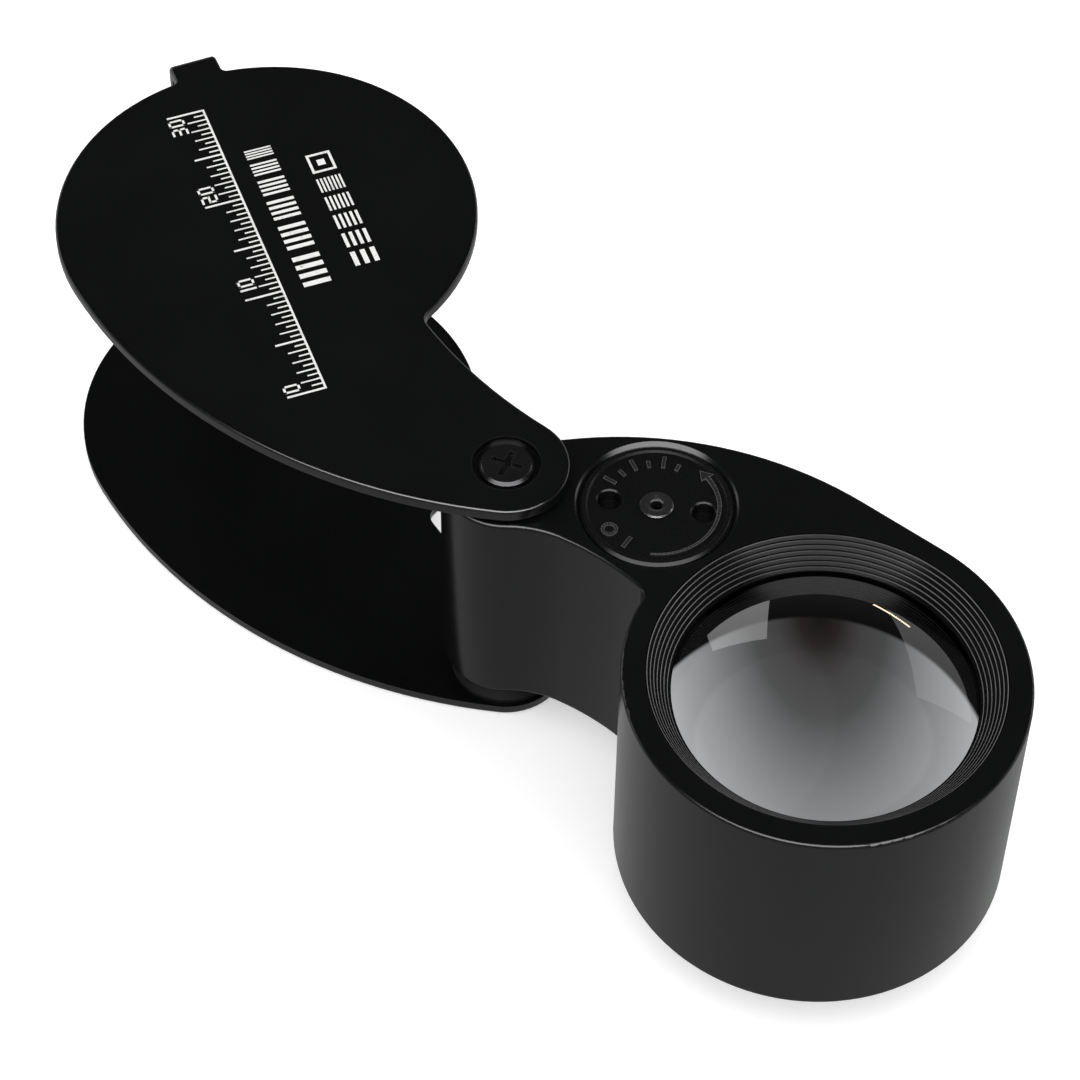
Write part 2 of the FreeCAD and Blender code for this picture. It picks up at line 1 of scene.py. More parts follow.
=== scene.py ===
# A pocket magnifier with a lamp, lying flat on a pale floor with +Z up. The eye lens
# stands on the Z axis and the printed cover reaches out toward -X. The camera looks down
# from the +X, -Y side. The pieces come from CAD; this script adds the materials, the print
# on the cover, the raised marks on the light cap, the floor, the lights and the camera.
# Lengths are in millimetres unless a comment says metres.
import math

import bpy
from mathutils import Matrix, Vector


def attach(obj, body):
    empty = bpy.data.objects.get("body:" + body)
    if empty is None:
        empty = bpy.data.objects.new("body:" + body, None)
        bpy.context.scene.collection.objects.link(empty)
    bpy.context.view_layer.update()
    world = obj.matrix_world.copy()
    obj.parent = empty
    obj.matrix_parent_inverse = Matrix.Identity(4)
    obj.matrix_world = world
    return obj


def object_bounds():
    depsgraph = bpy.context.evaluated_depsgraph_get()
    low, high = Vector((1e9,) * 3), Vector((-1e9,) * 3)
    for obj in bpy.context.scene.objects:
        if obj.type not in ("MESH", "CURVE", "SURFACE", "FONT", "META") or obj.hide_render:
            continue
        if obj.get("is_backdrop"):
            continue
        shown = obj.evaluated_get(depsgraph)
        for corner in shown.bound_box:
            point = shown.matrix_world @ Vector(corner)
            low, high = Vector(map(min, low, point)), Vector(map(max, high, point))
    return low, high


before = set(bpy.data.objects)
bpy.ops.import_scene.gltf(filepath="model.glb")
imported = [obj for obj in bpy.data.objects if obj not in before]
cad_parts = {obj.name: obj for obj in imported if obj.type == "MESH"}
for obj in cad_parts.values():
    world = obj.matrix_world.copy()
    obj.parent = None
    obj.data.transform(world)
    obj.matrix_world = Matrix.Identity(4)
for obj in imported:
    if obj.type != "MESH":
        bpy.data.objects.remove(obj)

MM = 0.001  # metres in a millimetre

# Level (x, y) directions as the camera sees them: toward it, and to its right
TOWARD = (0.615, -0.789)
ACROSS = (0.7885, 0.615)


def as_list(bounds):
    out = []
    for item in bounds:
        # An entry may be a point or a single number
        try:
            out.append([float(number) for number in item])
        except TypeError:
            out.append(float(item))
    return out


size_at_load = as_list(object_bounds())


# ---------------------------------------------------------------- node graphs
def rgba(color):
    """Opaque colour from a grey level or an RGB triple."""
    if isinstance(color, (int, float)):
        color = (color,) * 3
    return (*color, 1.0)


class Graph:
    """Emptied node tree of a material or world. An input value may be a socket to link."""

    def __init__(self, owner, output_kind):
        owner.use_nodes = True
        self.owner = owner
        self.tree = owner.node_tree
        self.tree.nodes.clear()
        self.output = self.tree.nodes.new("ShaderNode" + output_kind)

    def feed(self, socket, value):
        if isinstance(value, bpy.types.NodeSocket):
            self.tree.links.new(value, socket)
        else:
            socket.default_value = value

    def node(self, kind, inputs=None, **properties):
        node = self.tree.nodes.new("ShaderNode" + kind)
        for key, value in properties.items():
            setattr(node, key, value)
        for key, value in (inputs or {}).items():
            self.feed(node.inputs[key], value)
        return node

    def out(self, kind, inputs=None, output=0, **properties):
        """Make a node and return one of its outputs."""
        return self.node(kind, inputs, **properties).outputs[output]

    def surface(self, shader):
        self.feed(self.output.inputs["Surface"], shader)

    def calc(self, operation, first, second=None, clamp=False):
        inputs = {0: first}
        if second is not None:
            inputs[1] = second
        return self.out("Math", inputs, operation=operation, use_clamp=clamp)

    def along(self, x, y, direction):
        """Distance of (x, y) along a level direction."""
        return self.calc("ADD", self.calc("MULTIPLY", x, direction[0]),
                         self.calc("MULTIPLY", y, direction[1]))

    def length(self, x, y):
        return self.calc("SQRT", self.calc("ADD", self.calc("MULTIPLY", x, x),
                                           self.calc("MULTIPLY", y, y)))

    def object_coords(self):
        return self.out("TexCoord", output="Object")

    def level_mm(self, coords):
        """x and y of the coordinates, in millimetres."""
        axes = self.node("SeparateXYZ", {"Vector": coords}).outputs
        return [self.calc("MULTIPLY", axes[axis], 1000.0) for axis in "XY"]

    def noise(self, coords, scale, detail, rough, stretch=None):
        if stretch:
            coords = self.out("Mapping", {"Scale": stretch, "Vector": coords})
        return self.out("TexNoise", {"Scale": scale, "Detail": detail, "Roughness": rough,
                                     "Vector": coords}, output="Fac")

    def smears(self, coords, scale, detail, rough, stretch_y):
        """Noise drawn out along Y."""
        return self.noise(coords, scale, detail, rough, stretch=(1.0, stretch_y, 1.0))

    def ramp(self, fac, stops):
        """Colour ramp through (position, colour) stops."""
        node = self.node("ValToRGB", {"Fac": fac})
        elements = node.color_ramp.elements
        while len(elements) < len(stops):
            elements.new(0.5)
        for element, (position, color) in zip(elements, stops):
            element.position = position
            element.color = rgba(color)
        return node.outputs["Color"]

    def remap(self, value, low, high, interpolation="SMOOTHSTEP"):
        """0 at low, 1 at high."""
        return self.out("MapRange", {"From Min": low, "From Max": high, "Value": value},
                        interpolation_type=interpolation)

    def blend(self, fac, under, over, blend_type="MIX"):
        return self.out("MixRGB", {"Fac": fac, "Color1": under, "Color2": over},
                        blend_type=blend_type)

    def bump(self, height, strength, distance):
        return self.out("Bump", {"Strength": strength, "Distance": distance * MM,
                                 "Height": height})


def new_material(name):
    return Graph(bpy.data.materials.new(name), "OutputMaterial")


# ---------------------------------------------------------------- painted and metal finishes
MOTTLE = 0.15        # share by which the base colour strays each way
WEAR_HIGHLIGHT_GAIN = 1.6      # edge wear and painted edge highlight over the smear noise
FINE_GRAIN = 0.02    # bump distance

# Colours are a grey level or RGB. Columns: name, base colour, worn edge colour (wear and
# painted highlight), roughness, roughness spread, grain scale, grain bump,
# metallic, edge radius, edge wear and painted highlight, specular level
FINISHES = (
    ("satin_black_paint", (0.0030, 0.0034, 0.0032), 0.05,
     0.24, 0.08, 3800.0, 0.08, 0.0, 0.25, 0.05, 0.27),
    ("satin_black_sheet", (0.0026, 0.0029, 0.0028), 0.06,
     0.22, 0.08, 4200.0, 0.06, 0.0, 0.20, 0.25, 0.42),
    ("grooved_ring_black", (0.0045, 0.0045, 0.0047), 0.10,
     0.20, 0.08, 2600.0, 0.05, 0.0, 0.08, 0.0, 0.32),
    ("cap_black", (0.0048, 0.005, 0.005), 0.10,
     0.27, 0.12, 4600.0, 0.12, 0.0, 0.14, 0.15, 0.13),
    ("blackened_steel", (0.018, 0.018, 0.019), 0.2,
     0.28, 0.16, 5200.0, 0.20, 0.7, 0.10, 0.4, 0.3),
    ("oxide_spring", (0.006, 0.006, 0.0065), 0.03,
     0.62, 0.15, 5200.0, 0.20, 0.0, 0.08, 0.3, 0.06),
    ("eyelet_steel", 0.12, 0.6,
     0.22, 0.10, 6000.0, 0.12, 0.9, 0.08, 0.6, 0.5),
    ("black_anodised", (0.012, 0.012, 0.013), 0.10,
     0.42, 0.15, 5200.0, 0.25, 0.3, 0.12, 0.4, 0.5),
    ("turned_brass", (0.62, 0.43, 0.17), (0.85, 0.7, 0.42),
     0.28, 0.16, 5000.0, 0.25, 1.0, 0.12, 0.5, 0.5),
    ("plated_steel", (0.55, 0.55, 0.56), 0.8,
     0.26, 0.18, 5200.0, 0.25, 1.0, 0.15, 0.4, 0.5),
    ("spring_steel", (0.34, 0.34, 0.35), 0.6,
     0.34, 0.16, 5200.0, 0.25, 1.0, 0.10, 0.4, 0.5),
    ("tinned_wire", 0.5, 0.7,
     0.35, 0.20, 7000.0, 0.20, 1.0, 0.05, 0.3, 0.5),
    ("black_nylon", 0.010, 0.05,
     0.50, 0.15, 5200.0, 0.25, 0.0, 0.10, 0.3, 0.5),
    ("insulating_sleeve", (0.6, 0.58, 0.52), (0.7, 0.7, 0.66),
     0.60, 0.15, 3000.0, 0.30, 0.0, 0.10, 0.2, 0.5),
    ("cap_raised_marks", 0.012, 0.30,
     0.28, 0.10, 6000.0, 0.15, 0.0, 0.07, 0.9, 0.5),
)


def edge_mask(graph, radius):
    """1 on sharp or tightly rounded edges, 0 on open surfaces."""
    rounded = graph.out("Bevel", {"Radius": radius * MM}, samples=6)
    normal = graph.out("NewGeometry", output="True Normal")
    agree = graph.out("VectorMath", {0: rounded, 1: normal}, output="Value",
                      operation="DOT_PRODUCT")
    return graph.remap(graph.calc("SUBTRACT", 1.0, agree), low=0.02, high=0.25,
                       interpolation="LINEAR")


def finish(name, base, worn_highlit_color, rough, spread, grain, bump, metallic, edge, wear_highlight, specular):
    """Mottled colour, lighter along the edges from wear and a painted highlight, over a fine
    grain.
    """
    graph = new_material(name)
    coords = graph.object_coords()
    fine = graph.noise(coords, scale=grain, detail=4.0, rough=0.6)
    broad = graph.noise(coords, scale=120.0, detail=3.0, rough=0.5)
    smear = graph.smears(coords, scale=420.0, detail=5.0, rough=0.65, stretch_y=0.35)
    base = rgba(base)[:3]
    dark = tuple(c * (1.0 - MOTTLE) for c in base)
    light = tuple(min(1.0, c * (1.0 + MOTTLE)) for c in base)
    mottled = graph.ramp(broad, [(0.3, dark), (0.7, light)])
    # Edges turn lighter: partly wear, partly a painted highlight
    worn_highlit_edges = graph.calc("MULTIPLY", edge_mask(graph, edge),
                        graph.calc("MULTIPLY", smear, wear_highlight * WEAR_HIGHLIGHT_GAIN), clamp=True)
    texture = graph.calc("ADD", graph.calc("MULTIPLY", fine, 0.5),
                         graph.calc("MULTIPLY", smear, 0.5))
    graph.surface(graph.out("BsdfPrincipled", {
        "Base Color": graph.blend(worn_highlit_edges, mottled, rgba(worn_highlit_color)),
        "Roughness": graph.calc("ADD", rough - spread * 0.5,
                                graph.calc("MULTIPLY", texture, spread)),
        "Metallic": metallic,
        "Specular IOR Level": specular,
        "Normal": graph.bump(fine, strength=bump, distance=FINE_GRAIN),
    }))
    return graph


# Grooves round the eye ring, with painted highlight lines on the crests and painted shade on
# the lip
GROOVE_OUTER = 12.2   # radius
GROOVE_INNER = 10.5   # radius
GROOVES = 7
GROOVE_SHIFT = 0.10   # where a groove starts, as a share of the pitch
CREST_HIGHLIGHT = (0.26, 0.12)  # share of the pitch where the painted crest highlight starts and is full
# Width of the painted shade on the inner lip
SHADED_LIP_WIDTH = 0.06
SIDE_REACH = 11.5     # distance from the middle at which the side term of the painted highlight reaches 1


def add_groove_lines(graph):
    """Painted highlight line along the crest of each groove, and painted shade on the lip
    inside.
    """
    bsdf = graph.output.inputs["Surface"].links[0].from_node
    plain = bsdf.inputs["Base Color"].links[0].from_socket
    coords = graph.object_coords()
    x, y = graph.level_mm(coords)
    radius = graph.length(x, y)
    count = graph.calc("MULTIPLY", graph.calc("SUBTRACT", GROOVE_OUTER, radius),
                       GROOVES / (GROOVE_OUTER - GROOVE_INNER))
    phase = graph.calc("FRACT", graph.calc("ADD", count, GROOVE_SHIFT), 0.0)
    crest_highlight = graph.remap(phase, *CREST_HIGHLIGHT)
    # The painted highlight lines are brightest at both sides and broken by soft patches
    patch = graph.noise(coords, scale=160.0, detail=3.0, rough=0.5)
    side_highlight = graph.calc("ABSOLUTE",
                      graph.calc("DIVIDE", graph.along(x, y, ACROSS), SIDE_REACH))
    highlight_weight = graph.calc("MULTIPLY", graph.calc("ADD", 0.25, side_highlight),
                        graph.calc("ADD", 0.35, patch))
    # Pale colour along the crests: painted highlight lines
    highlit_lines = graph.blend(graph.calc("MULTIPLY", crest_highlight, highlight_weight, clamp=True), plain, rgba(0.17))
    # Near-black colour on the lip: painted shade
    lip_shade = graph.calc("LESS_THAN", radius, GROOVE_INNER + SHADED_LIP_WIDTH)
    graph.feed(bsdf.inputs["Base Color"], graph.blend(lip_shade, highlit_lines, rgba(0.0015)))
    # Specular level 0.32, falling to 0.04 on the lip under its painted shade
    graph.feed(bsdf.inputs["Specular IOR Level"],
               graph.calc("SUBTRACT", 0.32, graph.calc("MULTIPLY", lip_shade, 0.28)))


# ---------------------------------------------------------------- glass
def glass(name, tint, rough):
    """Clear glass with faint smudges."""
    graph = new_material(name)
    spots = graph.smears(graph.object_coords(), scale=260.0, detail=4.0, rough=0.6,
                         stretch_y=0.5)
    smudge = graph.calc("MULTIPLY", graph.calc("POWER", spots, 3.0), 0.05)
    graph.surface(graph.out("BsdfPrincipled", {
        "Base Color": rgba(tint),
        "Transmission Weight": 1.0,
        "IOR": 1.52,
        "Roughness": graph.calc("ADD", smudge, rough),
    }))
    return graph


# Ellipses of the painted glow on the dome: centre across, centre toward the camera, the two
# radii
SHADE = (-0.3, -5.6, 12.0, 24.0)  # the painted field pales outward from here, from painted shade to painted light
FIELD = (-1.4, 6.2, 12.6, 11.6)   # painted lit field
INNER = (-1.0, 4.2, 8.0, 6.4)     # painted step inside the field
LOW = (-5.2, 3.2, 5.6, 7.4)       # painted step on the left of the field
PAINTED_RIM = (-1.5, 5.2, 14.5, 13.2)    # dim painted glow round the field

# Colour of the painted field, from the middle of SHADE (0) to its edge (1)
PAINTED_FIELD_COLORS = (
    (0.00, (0.008, 0.007, 0.0065)),
    (0.12, (0.022, 0.019, 0.018)),
    (0.25, (0.062, 0.060, 0.060)),
    (0.38, (0.078, 0.079, 0.080)),
    (0.55, (0.178, 0.183, 0.186)),
    (0.78, (0.34, 0.345, 0.352)),
    (1.00, (0.55, 0.555, 0.565)),
)


def lens_dome():
    """Clear dome: sharp reflections over a glowing field painted on the dome, standing for
    the pale floor seen through the glass;
    the painted light falls to painted shade, black at the far side, with faint painted steps
    standing for the inner surfaces."""
    graph = new_material("lens_dome")
    calc = graph.calc
    coords = graph.object_coords()
    x, y = graph.level_mm(coords)
    toward = graph.along(x, y, TOWARD)
    across = graph.along(x, y, ACROSS)

    def ellipse(mid_across, mid_toward, radius_across, radius_toward):
        """0 at the middle of the ellipse, 1 on its edge."""
        return graph.length(
            calc("DIVIDE", calc("SUBTRACT", across, mid_across), radius_across),
            calc("DIVIDE", calc("SUBTRACT", toward, mid_toward), radius_toward))

    def inside(shape, soft):
        return graph.remap(ellipse(*shape), 1.0 + soft, 1.0 - soft)

    color = graph.ramp(ellipse(*SHADE), PAINTED_FIELD_COLORS)
    field = inside(FIELD, soft=0.018)
    # Brightness of the painted glow: cloudy by 10 % each way, with a small step up in each
    # inner ellipse
    cloud = graph.noise(coords, scale=95.0, detail=3.0, rough=0.5)
    glow = calc("ADD", 0.90, calc("MULTIPLY", cloud, 0.2))
    for mask, gain in ((inside(INNER, soft=0.03), 0.10), (inside(LOW, soft=0.05), 0.07)):
        glow = calc("MULTIPLY", glow, calc("ADD", 0.97, calc("MULTIPLY", mask, gain)))
    # The dome itself glows with the painted field: painted light and shade, not a lamp
    painted_field_glow = graph.out("Emission", {"Color": color, "Strength": calc("MULTIPLY", glow, field)})
    # Faint painted glow on the rim round the field
    rim = calc("MULTIPLY", inside(PAINTED_RIM, soft=0.02), calc("SUBTRACT", 1.0, field))
    painted_rim_glow = graph.out("Emission", {"Color": rgba((0.0035, 0.0033, 0.0033)), "Strength": rim})
    spots = graph.smears(coords, scale=260.0, detail=4.0, rough=0.6, stretch_y=0.5)
    smudge = calc("MULTIPLY", calc("POWER", spots, 4.0), 0.03)
    graph.surface(graph.out("MixShader", {
        0: graph.out("Fresnel", {"IOR": 1.8}),
        1: graph.out("AddShader", {0: painted_field_glow, 1: painted_rim_glow}),
        2: graph.out("BsdfGlossy", {"Roughness": calc("ADD", 0.01, smudge)}),
    }))
    return graph


def white_print():
    """Slightly uneven white ink."""
    graph = new_material("white_print")
    coords = graph.object_coords()
    fine = graph.noise(coords, scale=6500.0, detail=4.0, rough=0.7)
    broad = graph.noise(coords, scale=900.0, detail=3.0, rough=0.6)
    mixed = graph.calc("ADD", graph.calc("MULTIPLY", fine, 0.55),
                       graph.calc("MULTIPLY", broad, 0.45))
    graph.surface(graph.out("BsdfPrincipled", {
        "Base Color": graph.ramp(mixed, [(0.30, 0.30), (0.46, (0.74, 0.74, 0.73))]),
        "Roughness": 0.6,
        "Normal": graph.bump(fine, strength=0.3, distance=0.01),
    }))
    return graph


graphs = {row[0]: finish(*row) for row in FINISHES}
add_groove_lines(graphs["grooved_ring_black"])
graphs["crown_glass"] = glass("crown_glass", tint=(0.97, 0.985, 0.99), rough=0.0)
graphs["lamp_epoxy"] = glass("lamp_epoxy", tint=(1.0, 0.97, 0.9), rough=0.08)
graphs["lens_dome"] = lens_dome()
graphs["white_print"] = white_print()

PIECE_MATERIALS = {
    "housing": "satin_black_paint",
    "cover": "satin_black_sheet",
    "eye_ring": "grooved_ring_black",
    "eye_lens": "lens_dome",
    "flint_lens": "crown_glass",
    "field_lens": "crown_glass",
    "lens_spacer": "black_anodised",
    "field_ring": "black_anodised",
    "lamp_bulb": "lamp_epoxy",
    "lamp_bezel": "turned_brass",
    "lamp_lead_plus": "tinned_wire",
    "lamp_lead_ground": "tinned_wire",
    "bottom_contact": "turned_brass",
    "battery_spring": "spring_steel",
    "coin_cell_lower": "plated_steel",
    "coin_cell_middle": "plated_steel",
    "coin_cell_upper": "plated_steel",
    "battery_sleeve": "insulating_sleeve",
    "cap_contact_spring": "spring_steel",
    "bottom_plug": "cap_black",
    "light_cap": "cap_black",
    "cap_eyelet": "eyelet_steel",
    "pivot_sleeve": "turned_brass",
    "top_pivot_screw": "blackened_steel",
    "bottom_pivot_screw": "blackened_steel",
    "top_washer": "black_nylon",
    "bottom_spring_washer": "oxide_spring",
}
for piece, material_name in PIECE_MATERIALS.items():
    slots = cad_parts[piece].data.materials
    slots.clear()
    slots.append(graphs[material_name].owner)


# ---------------------------------------------------------------- flat prisms
def mesh_object(name, verts, faces, material):
    mesh = bpy.data.meshes.new(name)
    mesh.from_pydata(verts, [], faces)
    mesh.update()
    mesh.materials.append(material)
    obj = bpy.data.objects.new(name, mesh)
    bpy.context.scene.collection.objects.link(obj)
    return obj


def prisms_object(name, outlines, bottom, top, material_name):
    """One object of upright prisms on anticlockwise outlines."""
    verts, faces = [], []
    for outline in outlines:
        start, n = len(verts), len(outline)
        for z in (bottom, top):
            verts += [(x * MM, y * MM, z * MM) for x, y in outline]
        faces.append([start + n + i for i in range(n)])
        faces.append([start + n - 1 - i for i in range(n)])
        for i in range(n):
            j = (i + 1) % n
            faces.append([start + i, start + j, start + n + j, start + n + i])
    return mesh_object(name, verts, faces, graphs[material_name].owner)


def bar(origin, direction, a0, a1, b0, b1):
    """Rectangle spanning a0..a1 along the direction and b0..b1 to its left."""
    (x, y), (dx, dy) = origin, direction
    return [(x + dx * a - dy * b, y + dy * a + dx * b)
            for a, b in ((a0, b0), (a1, b0), (a1, b1), (a0, b1))]


# ---------------------------------------------------------------- print on the cover
COVER_TOP = 20.85
INK_BOTTOM, INK_TOP = COVER_TOP + 0.004, COVER_TOP + 0.022
reading = (-0.857, 0.515)  # the way the rows read; their tops point to its left
READING = tuple(part / math.hypot(*reading) for part in reading)

# Start (x, y) of each row's middle line, and its height
RULE_START, RULE_HEIGHT = (-43.11, -3.93), 2.8
PAIRS_START, PAIRS_HEIGHT = (-49.39, 4.64), 2.1
LEVELS_START, LEVELS_HEIGHT = (-47.91, 8.56), 1.9

RULE_STEP = 0.5
RULE_STEPS = 60
DIGIT_WIDTH, DIGIT_HEIGHT, DIGIT_STROKE = 0.72, 1.25, 0.17
DIGIT_GAP = 0.25   # between the digits of a number
DIGIT_BASE = 1.62  # above the foot of the ticks
TICK_TO_DIGIT = 0.35

PAIR_WIDTHS = (0.62, 0.50, 0.40, 0.32, 0.25, 0.19)  # line widths before fitting
PAIR_LINES = 4     # lines in a group
GROUP_GAP = 0.55
PAIRS_LENGTH = 15.4

# Strokes of a seven-bar digit: a top, b and c right, d bottom, e and f left, g middle
SEGMENTS = {"0": "abcdef", "1": "bc", "2": "abged", "3": "abgcd"}


def digit_bars(char, left, base):
    right, top = left + DIGIT_WIDTH, base + DIGIT_HEIGHT
    middle, stroke = base + DIGIT_HEIGHT / 2, DIGIT_STROKE
    strokes = {
        "a": (left, right, top - stroke, top),
        "g": (left, right, middle - stroke / 2, middle + stroke / 2),
        "d": (left, right, base, base + stroke),
        "f": (left, left + stroke, middle, top),
        "e": (left, left + stroke, base, middle),
        "b": (right - stroke, right, middle, top),
        "c": (right - stroke, right, base, middle),
    }
    return [span for key, span in strokes.items() if key in SEGMENTS[char]]


def rule_bars():
    """Plain 30 mm rule with half-millimetre steps, numbered every 10 mm."""
    bars = []
    for i in range(RULE_STEPS + 1):
        if i % 20 == 0:
            height = RULE_HEIGHT
        elif i % 10 == 0:
            height = 2.1
        else:
            height = 1.45 if i % 2 == 0 else 0.8
        width = 0.17 if i % 10 == 0 else 0.12
        bars.append((i * RULE_STEP - width / 2, i * RULE_STEP + width / 2, 0.0, height))
    length = RULE_STEPS * RULE_STEP
    bars.append((-0.08, length + 0.08, -0.16, 0.0))
    for mark in (0, 10, 20, 30):
        # Numbers follow their tick, but the last one stands before it
        left = mark + TICK_TO_DIGIT
        if mark == length:
            left = mark - TICK_TO_DIGIT - 2 * DIGIT_WIDTH - DIGIT_GAP
        for k, char in enumerate(str(mark)):
            bars += digit_bars(char, left + k * (DIGIT_WIDTH + DIGIT_GAP), DIGIT_BASE)
    return bars


def pair_bars():
    """Groups of upright lines that get finer, fitted to the row length."""
    bars, along = [], 0.0
    for width in PAIR_WIDTHS:
        for _ in range(PAIR_LINES):
            bars.append((along, along + width, 0.0, PAIRS_HEIGHT))
            along += 2 * width
        along += GROUP_GAP
    fit = PAIRS_LENGTH / along
    return [(a0 * fit, a1 * fit, b0, b1) for a0, a1, b0, b1 in bars]


def level_bars():
    """Stacks of 3 to 7 level lines, then a square inside an open square."""
    bars, along = [], 0.0
    for lines in range(3, 8):
        width = LEVELS_HEIGHT / (2 * lines - 1)
        bars += [(along, along + 1.45, j * 2 * width, j * 2 * width + width)
                 for j in range(lines)]
        along += 2.0
    left, right, stroke = along + 0.1, along + 2.1, 0.2
    bars += [
        (left, right, 0.0, stroke),
        (left, right, LEVELS_HEIGHT - stroke, LEVELS_HEIGHT),
        (left, left + stroke, stroke, LEVELS_HEIGHT - stroke),
        (right - stroke, right, stroke, LEVELS_HEIGHT - stroke),
        (along + 0.8, along + 1.4, 0.65, 1.25),
    ]
    return bars


outlines = []
for start, height, bars in ((RULE_START, RULE_HEIGHT, rule_bars()),
                            (PAIRS_START, PAIRS_HEIGHT, pair_bars()),
                            (LEVELS_START, LEVELS_HEIGHT, level_bars())):
    outlines += [bar(start, READING, a0, a1, b0 - height / 2, b1 - height / 2)
                 for a0, a1, b0, b1 in bars]
cover_print = prisms_object("cover_print", outlines, INK_BOTTOM, INK_TOP, "white_print")
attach(cover_print, "cover")

# ---------------------------------------------------------------- raised marks on the cap
CAP_CENTRE = (-18.03, 4.6)
MARK_BOTTOM, MARK_TOP = 19.29, 19.42
CAP_TURN = 37.95   # degrees from +X to the zero of the mark angles
RAY_INNER = 3.45   # radius
ARROW_RADIUS = 4.42


def polar(centre, radius, degrees):
    angle = math.radians(degrees)
    return centre[0] + radius * math.cos(angle), centre[1] + radius * math.sin(angle)


def on_cap(radius, degrees):
    return polar(CAP_CENTRE, radius, degrees + CAP_TURN)


def ray(degrees, outer, width):
    direction = polar((0.0, 0.0), 1.0, degrees + CAP_TURN)
    return bar(CAP_CENTRE, direction, RAY_INNER, outer, -width / 2, width / 2)


def arc(centre, start, end, radius, width_start, width_end, segments):
    """Outlines along an arc, in degrees from +X, whose width changes evenly."""
    pieces = []
    for i in range(segments):
        (angle0, half0), (angle1, half1) = [
            (start + (end - start) * k / segments,
             (width_start + (width_end - width_start) * k / segments) / 2)
            for k in (i, i + 1)]
        pieces.append([polar(centre, radius - half0, angle0),
                       polar(centre, radius + half0, angle0),
                       polar(centre, radius + half1, angle1),
                       polar(centre, radius - half1, angle1)])
    return pieces


# Six rays, long and short in turn, and a single bar
outlines = [ray(degrees, outer=4.05 if k % 2 else 4.45, width=0.26)
            for k, degrees in enumerate(range(146, 65, -16))]
outlines.append(ray(238, outer=4.5, width=0.28))
# Open ring
outlines += arc(on_cap(4.0, 214), start=0, end=360, radius=0.48,
                width_start=0.24, width_end=0.24, segments=15)
# Turn arrow: a widening arc and its head
outlines += arc(CAP_CENTRE, start=CAP_TURN - 96, end=CAP_TURN + 36, radius=ARROW_RADIUS,
                width_start=0.10, width_end=0.34, segments=33)
outlines.append([on_cap(ARROW_RADIUS, 46), on_cap(3.9, 35), on_cap(4.95, 35)])
cap_marks = prisms_object("cap_marks", outlines, MARK_BOTTOM, MARK_TOP, "cap_raised_marks")
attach(cap_marks, "cap")

# ---------------------------------------------------------------- floor
FLOOR_HALF = 3.0        # metres
FLOOR_Z = -3.01 * MM    # metres


def pale_floor():
    graph = new_material("pale_floor")
    cloud = graph.noise(graph.object_coords(), scale=40.0, detail=2.0, rough=0.5)
    pale = graph.out("BsdfPrincipled", {
        "Base Color": graph.ramp(cloud, [(0.3, 0.86), (0.7, 0.88)]),
        "Roughness": 0.9,
        "Specular IOR Level": 0.1,
        "Emission Color": rgba(1.0),
        "Emission Strength": 0.40,
    })
    # Reflections see a greyer floor than the eye does, so the painted walls stay dark
    graph.surface(graph.out("MixShader", {
        0: graph.out("LightPath", output="Is Glossy Ray"),
        1: pale,
        2: graph.out("Emission", {"Color": rgba((0.45, 0.46, 0.45))}),
    }))
    return graph


corners = [(x * FLOOR_HALF, y * FLOOR_HALF, FLOOR_Z)
           for x, y in ((-1, -1), (1, -1), (1, 1), (-1, 1))]
floor = mesh_object("floor", corners, [[0, 1, 2, 3]], pale_floor().owner)
floor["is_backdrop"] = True

# ---------------------------------------------------------------- lights on the lens alone
AIM = Vector((0, 0, 0.015))  # metres

lens_only = bpy.data.collections.new("lens_only")
lens_only.objects.link(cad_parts["eye_lens"])


def softbox(name, azimuth, elevation, distance, width, height, energy, spin,
            color=(1, 1, 1)):
    """Panel facing AIM. Angles in degrees, azimuth from +X toward +Y; sizes in metres."""
    light = bpy.data.lights.new(name, "AREA")
    light.shape = "RECTANGLE"
    light.size = width
    light.size_y = height
    light.energy = energy
    light.color = color
    obj = bpy.data.objects.new(name, light)
    bpy.context.scene.collection.objects.link(obj)
    turn, lift = math.radians(azimuth), math.radians(elevation)
    away = Vector((math.cos(lift) * math.cos(turn), math.cos(lift) * math.sin(turn),
                   math.sin(lift)))
    obj.location = AIM + away * distance
    obj.rotation_mode = "QUATERNION"
    roll = Matrix.Rotation(math.radians(spin), 3, "Z").to_quaternion()
    obj.rotation_quaternion = away.to_track_quat("Z", "Y") @ roll
    obj.light_linking.receiver_collection = lens_only
    obj.light_linking.blocker_collection = lens_only


softbox("box_left", azimuth=139.6, elevation=10.6, distance=0.6,
        width=0.15, height=0.56, energy=0.45, spin=-14.0)
softbox("box_right", azimuth=92.3, elevation=15.8, distance=0.6,
        width=0.32, height=0.625, energy=0.46, spin=37.0)
softbox("box_warm", azimuth=107.9, elevation=19.6, distance=0.58,
        width=0.006, height=0.10, energy=0.03, spin=64.0, color=(1.0, 0.78, 0.55))

# ---------------------------------------------------------------- world
# Brightness of the surroundings by height: low glow all round, dark ceiling
SKY = ((0.0, 0.42), (0.08, 0.28), (0.26, 0.07), (0.45, 0.022), (1.0, 0.012))
STRIP_STRENGTH = 4.0
KEY_STRENGTH = 13.0
DIFFUSE_STRENGTH = 1.22


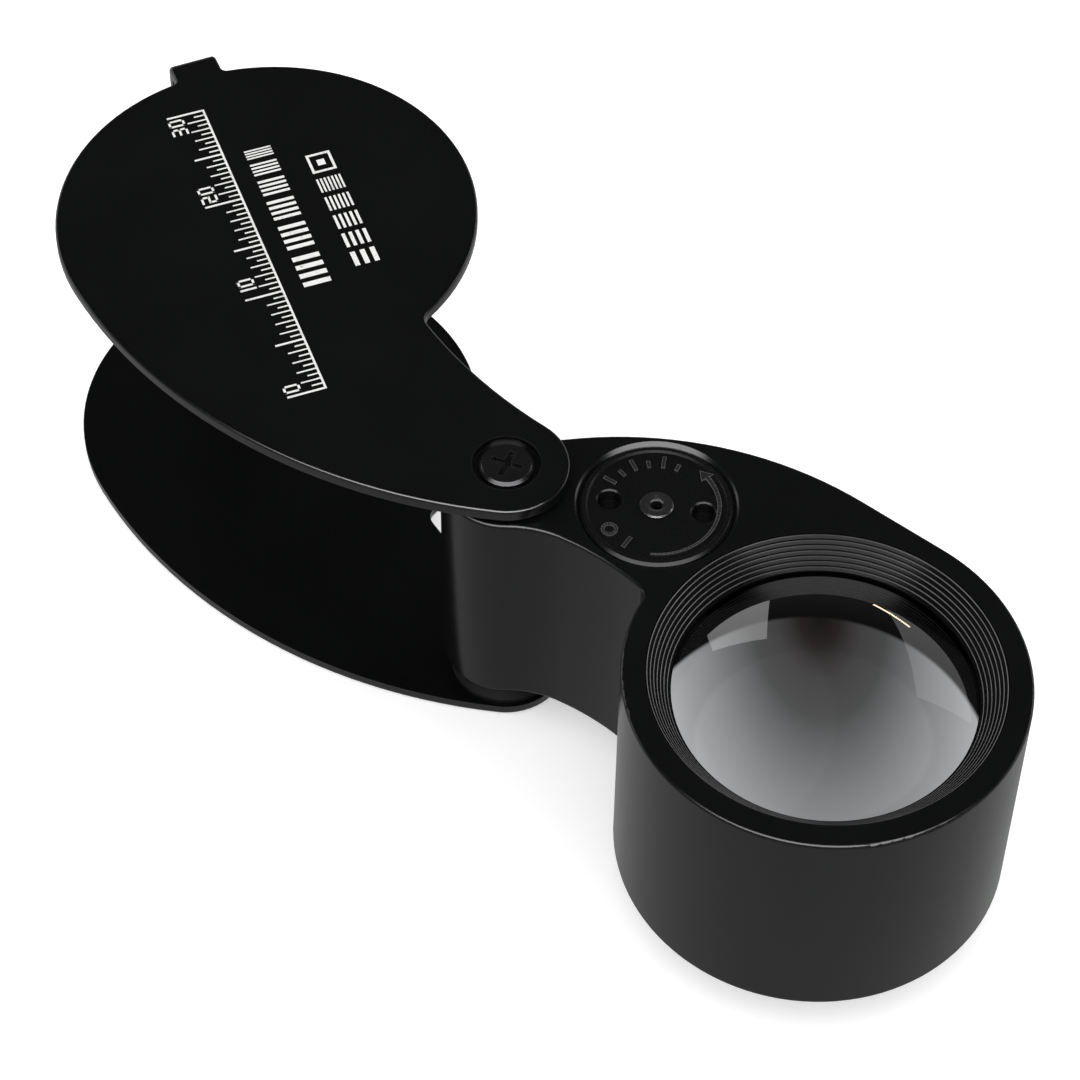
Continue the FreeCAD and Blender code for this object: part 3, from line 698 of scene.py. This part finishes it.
def build_world():
    """Plain white light for diffuse rays, a studio for reflections and glass."""
    world = bpy.data.worlds.new("studio")
    bpy.context.scene.world = world
    graph = Graph(world, "OutputWorld")
    calc = graph.calc
    rays = graph.node("LightPath").outputs
    view = graph.out("TexCoord", output="Generated")
    x, y, z = graph.node("SeparateXYZ", {"Vector": view}).outputs

    def band(value, rise_from, rise_to, fall_from, fall_to):
        """1 between rise_to and fall_from, 0 outside the outer limits."""
        return calc("MULTIPLY", graph.remap(value, rise_from, rise_to),
                    graph.remap(value, fall_to, fall_from))

    toward = graph.along(x, y, TOWARD)
    across = graph.along(x, y, ACROSS)
    sky = graph.ramp(calc("ADD", z, 0.0, clamp=True), SKY)
    # Strip light low behind the object, stronger to both sides
    strip = calc("MULTIPLY", band(z, 0.05, 0.10, 0.17, 0.22),
                 band(toward, -1.2, -1.1, -0.2, 0.0))
    sides = calc("MULTIPLY", calc("ABSOLUTE", across), 1.7)
    strip = calc("MULTIPLY", strip, calc("ADD", -0.50, sides, clamp=True))
    # Long box in front and above, seen only by rounded front edges
    key = calc("MULTIPLY", band(toward, 0.34, 0.44, 1.05, 1.1),
               band(z, 0.45, 0.53, 0.90, 0.95))
    lamps = calc("ADD", calc("MULTIPLY", strip, STRIP_STRENGTH),
                 calc("MULTIPLY", key, KEY_STRENGTH))
    studio = graph.blend(1.0, sky, lamps, blend_type="ADD")
    graph.surface(graph.out("MixShader", {
        0: calc("MAXIMUM", rays["Is Glossy Ray"], rays["Is Transmission Ray"]),
        1: graph.out("Background", {"Color": rgba(1.0), "Strength": DIFFUSE_STRENGTH}),
        2: graph.out("Background", {"Color": studio}),
    }))


build_world()
bpy.context.scene.view_settings.view_transform = "Standard"

# ---------------------------------------------------------------- camera
CAMERA_PLACE = Vector((0.0714591, -0.12338734, 0.209364))  # metres
# Camera axes: right, up, and back from the view
CAMERA_AXES = Matrix((
    (0.78163752, 0.62367, 0.00886079),
    (-0.49054147, 0.60589095, 0.6263108),
    (0.38524258, -0.49389461, 0.7795231),
))
camera = bpy.data.cameras.new("photo_camera")
camera.lens = 116.667
camera.sensor_width = 36.0
camera.clip_start = 0.01  # metres
camera.clip_end = 20.0    # metres
camera_object = bpy.data.objects.new("photo_camera", camera)
bpy.context.scene.collection.objects.link(camera_object)
camera_object.matrix_world = (Matrix.Translation(CAMERA_PLACE)
                              @ CAMERA_AXES.transposed().to_4x4())
bpy.context.scene.camera = camera_object

{"at_load": size_at_load, "at_finish": as_list(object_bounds())}
